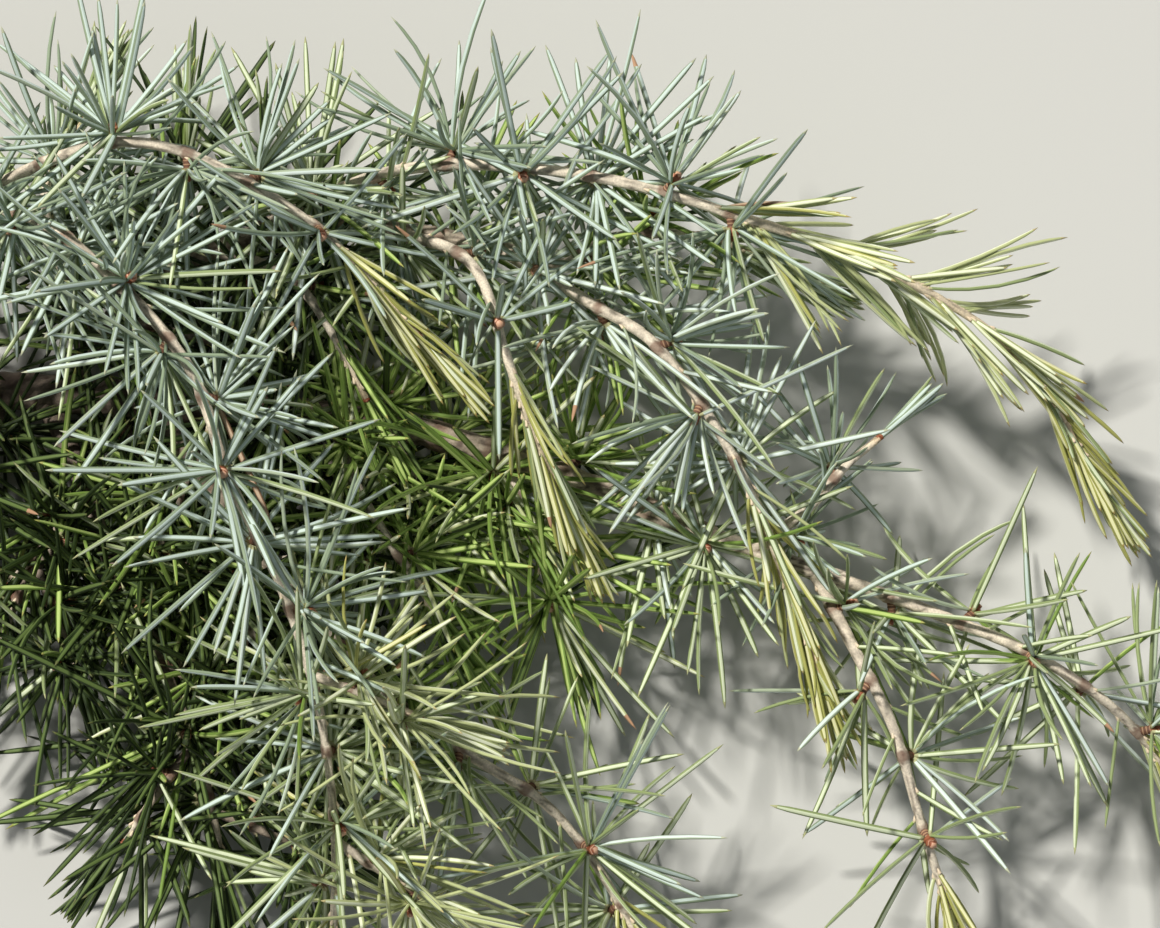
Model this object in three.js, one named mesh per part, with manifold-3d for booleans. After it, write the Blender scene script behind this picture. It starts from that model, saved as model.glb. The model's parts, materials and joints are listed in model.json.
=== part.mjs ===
// A cut branch of a weeping cedar, laid down flat: a woody main stem with a sawn end, the boughs that
// leave it, and the leafy twigs, each with its spurs, its whorls of needles and its soft young tip.
// Millimetres, +Z up. The ground is Z = 0, and X runs from the sawn end to the tip of the leading twig.

import * as THREE from "three";
import { mergeVertices } from "three/addons/utils/BufferGeometryUtils.js";
import Module from "manifold-3d";

const wasm = await Module();
wasm.setup();

// Driving sizes.
const seatGap = 0.3; // clear space where one piece meets the next
const needleGap = 0.35; // clear space between a needle and other wood or needles
const spurGap = 1.2; // clear space between a spur and other wood
const stemSize = { cutRadius: 4.8, tipRadius: 2, sides: 12 };
const boughSize = { rootRadius: 2.6, tipRadius: 1.7, sides: 8 };
const twigSize = { rootRadius: 1.5, tipRadius: 0.85, sides: 5 };
const facetLength = 9; // one facet along a limb
const needleSize = { length: 32, rootRadius: 0.78 };
const spurSize = { radius: 2.4, rise: 1.5, lean: 68, first: 9, spacing: 15, turn: 137.5, fromEnd: 3 };
const whorlSize = { openAngle: 112, sway: 6 }; // degrees from the spur's axis, and of chance in each
const looseSize = { spacing: 13, needleLength: 24, rootRadius: 0.7, angle: 55 }; // between whorls
const youngSize = { spacing: 3.6, needleLength: 23, rootRadius: 0.6, angle: 24 }; // on soft tips
const brushSize = { needles: 5, angle: 13 }; // at the very end

// Wood, from the thickest down. "on" is the limb that a piece springs from and "at" how far along that
// one, from 0 to 1. The points that follow are where it then runs, as [x, y, z].
const boughs = {
  main_stem: {
    through: [[-26, 108, 4.8], [-6, 108, 4.8], [18, 106.5, 11], [46, 104, 20], [74, 101.5, 26],
      [114, 90, 31], [144, 77.5, 34], [170, 69, 36]],
  },
  crest_bough: { on: "main_stem", at: 0.095, through: [[-10, 119, 17], [-11, 131, 33], [-8, 141, 47]] },
  upper_bough: {
    on: "main_stem", at: 0.17,
    through: [[20, 122, 20], [38, 135, 30], [62, 141, 38], [86, 139, 42], [108, 134, 44]],
  },
  lower_bough: { on: "main_stem", at: 0.27, through: [[38, 92, 24], [49, 77, 29], [62, 62, 33]] },
  shade_bough: { on: "main_stem", at: 0.15, through: [[12, 94, 14], [19, 75, 19], [27, 60, 22]] },
};

// Leafy twigs. "lengths" is the number of pieces that a long twig is made in, "turn" where its first spur
// stands, in degrees round from the top, and "young" the length of its soft tip.
const twigs = {
  crest_twig: {
    on: "crest_bough", at: 1, lengths: 2, turn: 40, young: 38,
    through: [[8, 152, 58], [24, 156.5, 64], [40, 153.5, 67], [64, 139.5, 66], [84, 118, 57]],
  },
  long_twig: {
    on: "upper_bough", at: 0.46, lengths: 3, turn: 200, young: 108,
    through: [[80, 151.5, 52], [115, 150.5, 58], [148, 142, 57], [178, 131, 50], [204, 115, 38],
      [221, 90, 27]],
  },
  drooping_twig: {
    on: "upper_bough", at: 0.7, lengths: 1, turn: 80, young: 55,
    through: [[94, 133, 54], [101.5, 114, 58], [107, 98, 54], [113.5, 83, 47]],
  },
  centre_twig: {
    on: "upper_bough", at: 0.93, lengths: 2, turn: 0, young: 44,
    through: [[118, 125, 51], [131, 116.5, 56], [147.5, 92.5, 53], [157, 70, 46], [164, 50, 40]],
  },
  upper_tip: {
    on: "upper_bough", at: 1, lengths: 1, turn: 120, young: 24,
    through: [[122, 138, 44], [140, 138.5, 43], [156, 132, 38]],
  },
  leading_twig: {
    on: "main_stem", at: 1, lengths: 2, turn: 105, young: 34,
    through: [[188, 62.5, 38], [208, 54, 39], [226, 41.5, 33], [239, 25, 25], [244, 12, 21]],
  },
  fork_twig: {
    on: "main_stem", at: 0.965, lengths: 2, turn: 300, young: 30,
    through: [[171, 56, 41], [179, 40, 41], [185, 20, 36], [191, 2, 29], [195, -13, 24]],
  },
  weeping_twig: {
    on: "crest_bough", at: 0.86, lengths: 4, turn: 265, young: 24,
    through: [[6, 142, 61], [24, 129.5, 73], [40, 111, 80], [47.5, 90, 82], [56, 72.5, 79],
      [63.5, 50, 73], [67, 26, 63], [67, 4, 52], [65, -14, 42]],
  },
  lower_twig: {
    on: "lower_bough", at: 1, lengths: 2, turn: 150, young: 22,
    through: [[76, 47.5, 40], [92, 35.5, 44], [110, 23.5, 42], [121, 9, 37], [132, -12, 29]],
  },
  shade_twig: {
    on: "shade_bough", at: 1, lengths: 1, turn: 230, young: 22,
    through: [[32, 49, 24], [38, 34, 26], [42, 16, 24], [44, -2, 20]],
  },
  left_twig: {
    on: "shade_bough", at: 0.5, lengths: 1, turn: 340, young: 10,
    through: [[8, 76, 20], [0, 63, 22], [-4, 48, 20]],
  },
  corner_twig: {
    on: "upper_bough", at: 0.12, lengths: 1, turn: 10, young: 12,
    through: [[9, 135, 22], [7, 149, 24], [14, 163, 23]],
  },
  inner_left_twig: {
    on: "main_stem", at: 0.1, lengths: 1, turn: 260, young: 12,
    through: [[-7, 98, 13], [-12, 86, 17], [-14, 72, 18]],
  },
  inner_twig: {
    on: "upper_bough", at: 0.42, lengths: 1, turn: 90, young: 14,
    through: [[58, 130, 44], [67, 118, 47], [73, 106, 45]],
  },
  middle_twig: {
    on: "main_stem", at: 0.46, lengths: 1, turn: 330, young: 16,
    through: [[70, 90, 35], [77, 78, 38], [85, 66, 37], [90, 57, 34]],
  },
  under_twig: {
    on: "lower_bough", at: 0.62, lengths: 1, turn: 30, young: 16,
    through: [[49, 62, 24], [54, 46, 23], [58, 29, 21], [59, 14, 18]],
  },
  side_twig: {
    on: "main_stem", at: 0.9, lengths: 1, turn: 100, young: 18,
    through: [[162, 84, 44], [169, 92, 46], [176, 98, 45]],
  },
};

// Single spurs that stand on the boughs themselves: how far along, and degrees round from the top.
const boughSpurs = {
  main_stem: [[0.3, 160], [0.4, 20], [0.505, -75], [0.57, 190], [0.625, 60], [0.7, -100], [0.79, 170],
    [0.85, 30]],
  upper_bough: [[0.3, 200], [0.62, 70], [0.83, 170]],
  lower_bough: [[0.42, 200]],
  crest_bough: [[0.62, 250]],
  shade_bough: [[0.82, 60]],
};

const bark = new THREE.MeshStandardMaterial({ color: 0xa98f76, roughness: 0.85, metalness: 0 });
const foliage = new THREE.MeshStandardMaterial({ color: 0x86a08e, roughness: 0.55, metalness: 0 });
const youngFoliage = new THREE.MeshStandardMaterial({ color: 0xb3b36a, roughness: 0.55, metalness: 0 });

const radians = THREE.MathUtils.degToRad;
const straightUp = new THREE.Vector3(0, 0, 1);
const ownAxis = new THREE.Vector3(0, 1, 0); // of a shape before it is placed

// A small repeatable run of numbers from 0 to 1.
function seededDraws(seed) {
  let state = seed;
  return () => {
    state = (Math.imul(state, 1664525) + 1013904223) >>> 0;
    return state / 4294967296;
  };
}

// A point of a curve with its direction, a level side to its right and the upper side square to both.
function frameAt(curve, along) {
  const point = curve.getPointAt(along);
  const tangent = curve.getTangentAt(along);
  const side = new THREE.Vector3().crossVectors(tangent, straightUp).normalize();
  const up = new THREE.Vector3().crossVectors(side, tangent);
  return { point, tangent, side, up };
}

// The direction that leans from the curve's own by an angle, at a turn counted round from the upper side.
function leaning(frame, turn, angle) {
  return new THREE.Vector3()
    .addScaledVector(frame.up, Math.cos(radians(turn)) * Math.sin(radians(angle)))
    .addScaledVector(frame.side, Math.sin(radians(turn)) * Math.sin(radians(angle)))
    .addScaledVector(frame.tangent, Math.cos(radians(angle)));
}

// A round bar that tapers along a stretch of a curve: a straight cylinder, bent.
function taperedLimb(curve, from, to, radiusAt, sides) {
  const steps = Math.max(2, Math.round(((to - from) * curve.getLength()) / facetLength));
  const bar = new THREE.CylinderGeometry(1, 1, 1, sides, steps);
  const position = bar.getAttribute("position");
  for (let i = 0; i < position.count; i++) {
    const along = from + (to - from) * (position.getY(i) + 0.5);
    const frame = frameAt(curve, along);
    const radius = radiusAt(along);
    frame.point
      .addScaledVector(frame.side, position.getX(i) * radius)
      .addScaledVector(frame.up, position.getZ(i) * radius);
    position.setXYZ(i, frame.point.x, frame.point.y, frame.point.z);
  }
  return bar;
}

// A slim three-sided spike with one of its edges turned to a corner.
function needleShape(root, direction, length, rootRadius, corner) {
  const across = new THREE.Vector3().crossVectors(direction, corner).normalize();
  const edge = new THREE.Vector3().crossVectors(across, direction);
  return new THREE.ConeGeometry(rootRadius, length, 3, 1)
    .translate(0, length / 2, 0)
    .applyMatrix4(new THREE.Matrix4().makeBasis(across, direction, edge).setPosition(root));
}

function solidOf(geometry) {
  const plain = geometry.clone().deleteAttribute("normal").deleteAttribute("uv");
  const merged = mergeVertices(plain, 1e-4);
  return new wasm.Manifold(
    new wasm.Mesh({
      numProp: 3,
      vertProperties: merged.getAttribute("position").array,
      triVerts: new Uint32Array(merged.index.array),
    }),
  );
}

// The joined shape with its largest body kept, so that a scrap cut loose is dropped.
function geometryOf(solid) {
  const largest = solid.decompose().reduce((a, b) => (a.volume() > b.volume() ? a : b));
  const mesh = largest.getMesh();
  return new THREE.BufferGeometry()
    .setAttribute("position", new THREE.BufferAttribute(mesh.vertProperties, 3))
    .setIndex(new THREE.BufferAttribute(mesh.triVerts, 1));
}

// What already stands in the branch, as straight bars with a radius at each end. New needles keep clear
// of it.
const standing = [];
const woodBar = 4; // the bars that a bent limb counts as are about this long

function standLimb(owner, curve, start, end, radiusAt) {
  const steps = Math.ceil(((end - start) * curve.getLength()) / woodBar);
  for (let i = 0; i < steps; i++) {
    const a = start + ((end - start) * i) / steps;
    const b = start + ((end - start) * (i + 1)) / steps;
    const [from, to] = [curve.getPointAt(a), curve.getPointAt(b)];
    standing.push({ owner, isWood: true, from, to, fromRadius: radiusAt(a), toRadius: radiusAt(b) });
  }
}

// Closest approach of two straight bars: the distance and how far along each it lies.
function closest(a, b) {
  const d1 = new THREE.Vector3().subVectors(a.to, a.from);
  const d2 = new THREE.Vector3().subVectors(b.to, b.from);
  const r = new THREE.Vector3().subVectors(a.from, b.from);
  const aa = d1.lengthSq();
  const ee = d2.lengthSq();
  const f = d2.dot(r);
  const c = d1.dot(r);
  const bb = d1.dot(d2);
  const denominator = aa * ee - bb * bb;
  let s = denominator > 1e-9 ? THREE.MathUtils.clamp((bb * f - c * ee) / denominator, 0, 1) : 0;
  let t = (bb * s + f) / ee;
  if (t < 0 || t > 1) {
    t = THREE.MathUtils.clamp(t, 0, 1);
    s = THREE.MathUtils.clamp((bb * t - c) / aa, 0, 1);
  }
  const gap = r.addScaledVector(d1, s).addScaledVector(d2, -t).length();
  return { gap, s, t };
}

function isClear(bar, touches, clearance) {
  return standing.every((other) => {
    const { gap, s, t } = closest(bar, other);
    if (touches(other, s)) return true;
    const radius = THREE.MathUtils.lerp(bar.fromRadius, bar.toRadius, s);
    return gap > radius + THREE.MathUtils.lerp(other.fromRadius, other.toRadius, t) + clearance;
  });
}

// A needle that would reach into the ground is bent up until its tip just rests on it.
function abovePlane(root, direction, length) {
  const lowest = -root.z / length;
  if (direction.z >= lowest) return direction;
  const level = Math.hypot(direction.x, direction.y);
  const spread = Math.sqrt(1 - lowest * lowest) / level;
  return new THREE.Vector3(direction.x * spread, direction.y * spread, lowest);
}

// Tries a needle at full length and then shorter, and returns its shape in a list, which is empty where
// there is no room. Near its root a needle may touch its own piece's wood and needles.
function tryNeedle(owner, group, root, wanted, fullLength, rootRadius, corner) {
  for (const length of [fullLength, fullLength * 0.82, fullLength * 0.66]) {
    const direction = abovePlane(root, wanted, length);
    const to = root.clone().addScaledVector(direction, length);
    const bar = { owner, group, from: root, to, fromRadius: rootRadius, toRadius: 0 };
    const isOwn = (other, along) =>
      other.group === group || (other.owner === owner && along < (other.isWood ? 0.3 : 0.15));
    if (isClear(bar, isOwn, needleGap)) {
      standing.push(bar);
      return [needleShape(root, direction, length, rootRadius, corner)];
    }
  }
  return [];
}

// A whorl: the short swollen spur, sunk a little into the wood, and a needle from the middle of each of
// its faces that doesn't look back at the wood.
function whorlShapes(owner, spur, draw) {
  const stand = new THREE.Quaternion()
    .setFromUnitVectors(ownAxis, spur.direction)
    .multiply(new THREE.Quaternion().setFromAxisAngle(ownAxis, draw() * Math.PI));
  const knob = new THREE.IcosahedronGeometry(spurSize.radius, 0).applyQuaternion(stand);
  const corners = knob.getAttribute("position");
  const shapes = [knob.clone().translate(spur.middle.x, spur.middle.y, spur.middle.z)];
  const swayReach = 2 * Math.sin(radians(whorlSize.sway));
  for (let i = 0; i < corners.count; i += 3) {
    const [a, b, c] = [0, 1, 2].map((k) => new THREE.Vector3().fromBufferAttribute(corners, i + k));
    const sway = new THREE.Vector3(draw() - 0.5, draw() - 0.5, draw() - 0.5).multiplyScalar(swayReach);
    const direction = a.clone().add(b).add(c).normalize().add(sway).normalize();
    if (direction.angleTo(spur.direction) > radians(whorlSize.openAngle)) continue;
    const length = needleSize.length * (0.86 + 0.24 * draw());
    shapes.push(...tryNeedle(owner, spur, spur.middle, direction, length, needleSize.rootRadius, a));
  }
  return shapes;
}

// A spur on a stretch of wood, by where its middle stands over the bark.
function spurOn(frame, turn, woodRadius) {
  const direction = leaning(frame, turn, spurSize.lean);
  const rise = woodRadius / Math.sin(radians(spurSize.lean)) + spurSize.rise;
  return { direction, middle: frame.point.clone().addScaledVector(direction, rise) };
}

// Sets a whorl's spur among what stands in the branch, where there is room for it.
const whorls = [];
function setSpur(owner, wood, spur, draw) {
  const from = spur.middle;
  const to = from.clone().addScaledVector(spur.direction, 0.5);
  const radii = { fromRadius: spurSize.radius, toRadius: spurSize.radius };
  const bar = { owner, group: spur, isWood: true, from, to, ...radii };
  if (isClear(bar, (other) => other.owner === wood, spurGap)) {
    standing.push(bar);
    whorls.push({ owner, wood, spur, draw });
  }
}

// The run of a limb: from the axis of the one that it leaves, or straight on from that one's tip.
function curveOf(entry, parent) {
  const points = entry.through.map((p) => new THREE.Vector3(...p));
  if (parent && entry.at < 1) points.unshift(parent.curve.getPointAt(entry.at));
  if (parent && entry.at === 1) {
    const { point, tangent } = frameAt(parent.curve, 1);
    points.unshift(point.clone().addScaledVector(tangent, seatGap), point.clone().addScaledVector(tangent, 5));
  }
  return new THREE.CatmullRomCurve3(points, false, "centripetal");
}

// Grow the wood first: every curve, its thickness and, on the twigs, the places of the spurs.
const grown = {};
for (const [name, entry] of Object.entries(boughs)) {
  const curve = curveOf(entry, grown[entry.on]);
  const size = entry.on ? boughSize : stemSize;
  const rootRadius = entry.on ? size.rootRadius : size.cutRadius;
  const radiusAt = (along) => rootRadius + (size.tipRadius - rootRadius) * along ** 0.8;
  grown[name] = { curve, radiusAt, sides: size.sides, parent: grown[entry.on] };
  standLimb(name, curve, 0, 1, radiusAt);
}
Object.entries(twigs).forEach(([name, entry], number) => {
  const parent = grown[entry.on];
  const curve = curveOf(entry, parent);
  const rootRadius = Math.min(twigSize.rootRadius, parent.radiusAt(entry.at) * 0.95);
  const radiusAt = (along) => rootRadius + (twigSize.tipRadius - rootRadius) * along;
  const total = curve.getLength();
  const youngFrom = 1 - entry.young / total;
  const draw = seededDraws(1009 * (number + 1));
  const spurs = [];
  let turn = entry.turn;
  for (let s = spurSize.first; s < total * (youngFrom + 0.04); ) {
    spurs.push({ along: s / total, ...spurOn(frameAt(curve, s / total), turn, radiusAt(s / total)) });
    turn += spurSize.turn;
    s += spurSize.spacing * (0.88 + 0.24 * draw());
  }
  const leavesTip = entry.at === 1;
  grown[name] = { curve, radiusAt, sides: twigSize.sides, parent, leavesTip, total, youngFrom, spurs, draw };
  for (let k = 0; k < entry.lengths; k++) {
    standLimb(name + "_" + (k + 1), curve, k / entry.lengths, (k + 1) / entry.lengths, radiusAt);
  }
});

// A limb's solid, cut clear of the one that it springs from.
function limbSolid(name, from, to) {
  const { curve, radiusAt, sides, parent, leavesTip } = grown[name];
  const solid = solidOf(taperedLimb(curve, from, to, radiusAt, sides));
  if (!parent || leavesTip || from > 0) return solid;
  const clearance = (along) => parent.radiusAt(along) + seatGap;
  return solid.subtract(solidOf(taperedLimb(parent.curve, 0, 1, clearance, parent.sides)));
}

const branch = new THREE.Group();

function addPiece(name, solid, material) {
  const mesh = new THREE.Mesh(geometryOf(solid), material);
  mesh.name = name;
  branch.add(mesh);
}

for (const name of Object.keys(boughs)) addPiece(name, limbSolid(name, 0, 1), bark);

// Which stretch of a long twig a place belongs to, and where that stretch starts and ends.
function stretches(name) {
  const { total } = grown[name];
  const { lengths } = twigs[name];
  return Array.from({ length: lengths }, (_, k) => ({
    owner: name + "_" + (k + 1),
    from: k === 0 ? 0 : k / lengths + seatGap / total,
    to: (k + 1) / lengths,
  }));
}

// Every spur is set before any needle, so that no needle takes a whorl's place.
for (const name of Object.keys(twigs)) {
  const { total, spurs, draw } = grown[name];
  const margin = spurSize.fromEnd / total;
  for (const { owner, from, to } of stretches(name)) {
    for (const spur of spurs.filter(({ along }) => along > from + margin && along < to - margin)) {
      setSpur(owner, owner, spur, draw);
    }
  }
}
for (const [name, places] of Object.entries(boughSpurs)) {
  places.forEach(([along, turn], i) => {
    const { curve, radiusAt } = grown[name];
    const spur = spurOn(frameAt(curve, along), turn, radiusAt(along));
    setSpur(name + "_spur_" + (i + 1), name, spur, seededDraws(7001 * (whorls.length + 1)));
  });
}

const shapesOf = {};
for (const { owner, spur, draw } of whorls) {
  shapesOf[owner] ??= [];
  shapesOf[owner].push(...whorlShapes(owner, spur, draw));
}

// Single needles: far apart on the older wood, close and swept forward on the young tip, and a brush at its end.
function singleNeedles(name, stretch) {
  const { curve, total, youngFrom, draw } = grown[name];
  const shapes = [];
  let turn = 180 / twigSize.sides; // the middle of one of the twig's faces
  for (let s = stretch.from * total + 4; s < stretch.to * total - 1; ) {
    const { needleLength, rootRadius, angle, spacing } = s / total > youngFrom ? youngSize : looseSize;
    const frame = frameAt(curve, s / total);
    const length = needleLength * (0.85 + 0.3 * draw());
    const direction = leaning(frame, turn, angle * (0.85 + 0.3 * draw()));
    const corner = frame.tangent;
    shapes.push(...tryNeedle(stretch.owner, frame, frame.point, direction, length, rootRadius, corner));
    turn += (2 * 360) / twigSize.sides;
    s += spacing * (0.8 + 0.4 * draw());
  }
  if (stretch.to < 1) return shapes;
  const tip = frameAt(curve, 0.995);
  const { needleLength, rootRadius } = youngSize;
  for (let i = 0; i < brushSize.needles; i++) {
    const direction = leaning(tip, (360 * i) / brushSize.needles, brushSize.angle);
    const corner = tip.side;
    shapes.push(...tryNeedle(stretch.owner, tip, tip.point, direction, needleLength, rootRadius, corner));
  }
  return shapes;
}

for (const name of Object.keys(twigs)) {
  for (const stretch of stretches(name)) {
    const shapes = [...(shapesOf[stretch.owner] ?? []), ...singleNeedles(name, stretch)];
    const limb = limbSolid(name, stretch.from, stretch.to);
    const solid = shapes.reduce((made, shape) => made.add(solidOf(shape)), limb);
    const youngShare = (stretch.to - grown[name].youngFrom) / (stretch.to - stretch.from);
    addPiece(stretch.owner, solid, youngShare > 0.6 ? youngFoliage : foliage);
  }
}
for (const { owner, wood } of whorls.filter((whorl) => whorl.wood in boughs)) {
  const { curve, radiusAt, sides } = grown[wood];
  const clearance = solidOf(taperedLimb(curve, 0, 1, (along) => radiusAt(along) + seatGap, sides));
  const solid = shapesOf[owner].map(solidOf).reduce((made, shape) => made.add(shape));
  addPiece(owner, solid.subtract(clearance), foliage);
}

// The origin is the middle of the space that the branch takes, on the ground.
const space = new THREE.Box3().setFromObject(branch);
const middle = space.getCenter(new THREE.Vector3());
branch.position.set(-middle.x, -middle.y, -space.min.z);

export default branch;
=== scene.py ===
# A cut branch of a weeping cedar, laid down on a pale floor and seen from straight above: a woody stem
# with a sawn end, its boughs, and drooping twigs whose short shoots carry whorls of waxy needles.
# The plan of the branch is in millimetres, and is set into the frame when each mesh is made.

import json
import math

import bpy
import numpy as np
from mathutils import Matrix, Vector, noise


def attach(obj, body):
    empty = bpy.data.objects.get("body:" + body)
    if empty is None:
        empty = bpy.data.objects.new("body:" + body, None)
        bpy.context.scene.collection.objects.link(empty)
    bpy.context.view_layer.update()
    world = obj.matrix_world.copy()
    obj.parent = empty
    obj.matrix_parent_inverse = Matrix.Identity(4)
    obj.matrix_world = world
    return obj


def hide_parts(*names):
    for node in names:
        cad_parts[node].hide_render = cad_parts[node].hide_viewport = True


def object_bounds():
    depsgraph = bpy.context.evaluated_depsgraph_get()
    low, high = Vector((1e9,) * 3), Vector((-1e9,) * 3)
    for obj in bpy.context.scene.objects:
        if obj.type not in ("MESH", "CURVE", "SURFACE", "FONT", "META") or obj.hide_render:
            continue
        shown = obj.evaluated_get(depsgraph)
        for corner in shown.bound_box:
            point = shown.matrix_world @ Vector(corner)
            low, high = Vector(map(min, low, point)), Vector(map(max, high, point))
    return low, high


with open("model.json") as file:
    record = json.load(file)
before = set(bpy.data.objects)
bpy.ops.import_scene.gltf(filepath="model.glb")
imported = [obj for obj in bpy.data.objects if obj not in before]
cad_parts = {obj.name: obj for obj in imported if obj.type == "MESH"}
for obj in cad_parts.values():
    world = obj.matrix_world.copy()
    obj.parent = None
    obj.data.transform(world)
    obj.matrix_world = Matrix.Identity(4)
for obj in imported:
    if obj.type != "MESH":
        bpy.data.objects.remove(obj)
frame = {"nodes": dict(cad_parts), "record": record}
cadBox = [list(corner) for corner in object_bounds()]
print("frame loaded:", len(frame["nodes"]), "nodes")

mm = 0.001
cutInPlan = np.array([-26, 108, 4.8])  # the middle of the sawn face, where the plan has it
cutInFrame = np.array(frame["record"]["mounts"][0]["pos_m"]) / mm
planToFrame = cutInFrame - cutInPlan


# Camera, floor and light

studio = {
    "lens": 200, "sensor": 36,  # mm
    "seenWidth": 232, "seenHeight": 185.6, "level": 50,  # mm of the plan in the picture, at this height
    "seesTo": 20,  # m
    "floorSide": 3.0, "floorBelow": 0.0004, "floorColour": "#c6c6c2", "floorRoughness": 0.95,
    "keyFrom": (-0.55, 0.62, 1.05), "keySpread": 5, "keyPower": 4.3, "keyColour": "#fffcf5",
    "fillFrom": (0.9, -0.5, 0.9), "fillSpread": 60, "fillPower": 0.3, "fillColour": "#e6eeff",
    "skyColour": "#e8ebed", "skyStrength": 0.17,
    "viewTransform": "Standard",
}


def linearColour(hexText):
    channels = [int(hexText[i:i + 2], 16) / 255 for i in (1, 3, 5)]
    return [c / 12.92 if c <= 0.04045 else ((c + 0.055) / 1.055) ** 2.4 for c in channels] + [1]


def setInputs(material, node, inputs):
    for key, value in inputs.items():
        if isinstance(value, bpy.types.NodeSocket):
            material.node_tree.links.new(value, node.inputs[key])
        else:
            node.inputs[key].default_value = value


def addNode(material, kind, settings=None, inputs=None, stops=()):
    node = material.node_tree.nodes.new(kind)
    for key, value in (settings or {}).items():
        setattr(node, key, value)
    for number, (position, hexText) in enumerate(stops):
        elements = node.color_ramp.elements
        element = elements[number] if number < 2 else elements.new(position)
        element.position = position
        element.color = linearColour(hexText)
    setInputs(material, node, inputs or {})
    return node


def newMaterial(name):
    material = bpy.data.materials.new(name)
    material.use_nodes = True
    return material, material.node_tree.nodes["Principled BSDF"]


def deselectAll():
    if bpy.context.object and bpy.context.object.mode != "OBJECT":
        bpy.ops.object.mode_set(mode="OBJECT")
    bpy.ops.object.select_all(action="DESELECT")


def layFloor():
    deselectAll()
    bpy.ops.mesh.primitive_plane_add(size=studio["floorSide"], location=(0, 0, -studio["floorBelow"]))
    floor = bpy.context.object
    floor.name = "floor"
    bpy.ops.object.transform_apply(location=True, rotation=True, scale=True)
    material, shader = newMaterial("matt paper floor")  # plain card with hardly any gloss
    setInputs(material, shader, {"Base Color": linearColour(studio["floorColour"]),
                                 "Roughness": studio["floorRoughness"]})
    floor.data.materials.append(material)


def placeCamera():
    middle = np.array([studio["seenWidth"] / 2, studio["seenHeight"] / 2, studio["level"]]) + planToFrame
    height = studio["lens"] * studio["seenWidth"] / studio["sensor"]
    bpy.ops.object.camera_add(location=(middle + [0, 0, height]) * mm, rotation=(0, 0, 0))
    camera = bpy.context.object
    camera.data.lens = studio["lens"]
    camera.data.sensor_width = studio["sensor"]
    camera.data.clip_end = studio["seesTo"]
    bpy.context.scene.camera = camera


def addLamp(name, comesFrom, spread, power, colour):
    # A lamp far off, so that the whole floor is lit alike. The spread, in degrees, softens its shadows.
    bpy.ops.object.light_add(type="SUN", location=comesFrom)
    lamp = bpy.context.object
    lamp.name = name
    lamp.data.angle = math.radians(spread)
    lamp.data.energy = power
    lamp.data.color = linearColour(colour)[:3]
    lamp.rotation_euler = (-Vector(comesFrom)).to_track_quat("-Z", "Y").to_euler()


def lightStudio():
    for lamp in ("key", "fill"):
        addLamp(lamp + " light", studio[lamp + "From"], studio[lamp + "Spread"], studio[lamp + "Power"],
                studio[lamp + "Colour"])
    world = bpy.data.worlds.new("studio sky")
    world.use_nodes = True
    background = world.node_tree.nodes["Background"]
    background.inputs["Color"].default_value = linearColour(studio["skyColour"])
    background.inputs["Strength"].default_value = studio["skyStrength"]
    bpy.context.scene.world = world
    bpy.context.scene.view_settings.view_transform = studio["viewTransform"]


deselectAll()
layFloor()
placeCamera()
lightStudio()
print("camera, floor and lights placed")


# The plan of the branch. "on" is the limb that a piece springs from and "at" how far along that one,
# from 0 to 1. "shoots" are the short shoots of the stem and boughs: how far along, and degrees round
# from the top. "young" is the length of a twig's soft tip, "turn" where its first short shoot stands,
# "lengths" how many pieces of the frame it spans, and "tint" the colour of its needles, with
# "outerTint" for those of its outer part.

wood = {
    "stemRoot": 4.8, "stemTip": 1.8, "boughRoot": 2.6, "boughTip": 1.6, "twigRoot": 1.34, "twigTip": 0.74,
    "taper": 0.7, "slimmer": 0.95,  # a twig is at most this share of its limb's thickness
    "seat": 0.3, "straight": 5,  # mm ahead of another's tip where a limb on it starts, and runs straight to
    "outerFrom": 0.6, "ringGap": 0.6,
}
shootSize = {
    "rise": 1.5, "lean": 68, "first": 9, "spacing": 15,
    "spread": (0.88, 0.24),  # the least share of the spacing, and the most that is drawn on top
    "pastYoung": 0.04,  # how far on to the soft tip they still stand
}
goldenAngle = 137.5  # degrees from each short shoot or needle to the next
seeds = {"twigs": 1009, "whorls": 4000, "singles": 6000, "lanes": 77}

# The dark "shadeGreen" needles of the inner limbs are painted shade for the inside of the branch, partly also
# the real deeper green of needles grown in shade.
boughs = {
    "main_stem": {
        "through": [[-26, 108, 4.8], [-6, 108, 4.8], [18, 106.5, 11], [46, 104, 20], [74, 101.5, 26],
                    [114, 90, 31], [144, 77.5, 34], [170, 69, 36]],
        "shoots": [[0.3, 160], [0.4, 20], [0.505, -75], [0.57, 190], [0.625, 60], [0.7, -100],
                   [0.79, 170], [0.85, 30]],
        "tint": "leafGreen", "outerTint": "greyGreen",
    },
    "crest_bough": {
        "on": "main_stem", "at": 0.095, "through": [[-10, 119, 17], [-11, 131, 33], [-8, 141, 47]],
        "shoots": [[0.62, 250]], "tint": "shadeGreen",
    },
    "upper_bough": {
        "on": "main_stem", "at": 0.17,
        "through": [[20, 122, 20], [38, 135, 30], [62, 141, 38], [86, 139, 42], [108, 134, 44]],
        "shoots": [[0.3, 200], [0.62, 70], [0.83, 170]], "tint": "greyGreen",
    },
    "lower_bough": {
        "on": "main_stem", "at": 0.27, "through": [[38, 92, 24], [49, 77, 29], [62, 62, 33]],
        "shoots": [[0.42, 200]], "tint": "leafGreen",
    },
    "shade_bough": {
        "on": "main_stem", "at": 0.15, "through": [[12, 94, 14], [19, 75, 19], [27, 60, 22]],
        "shoots": [[0.82, 60]], "tint": "shadeGreen",
    },
}

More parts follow.
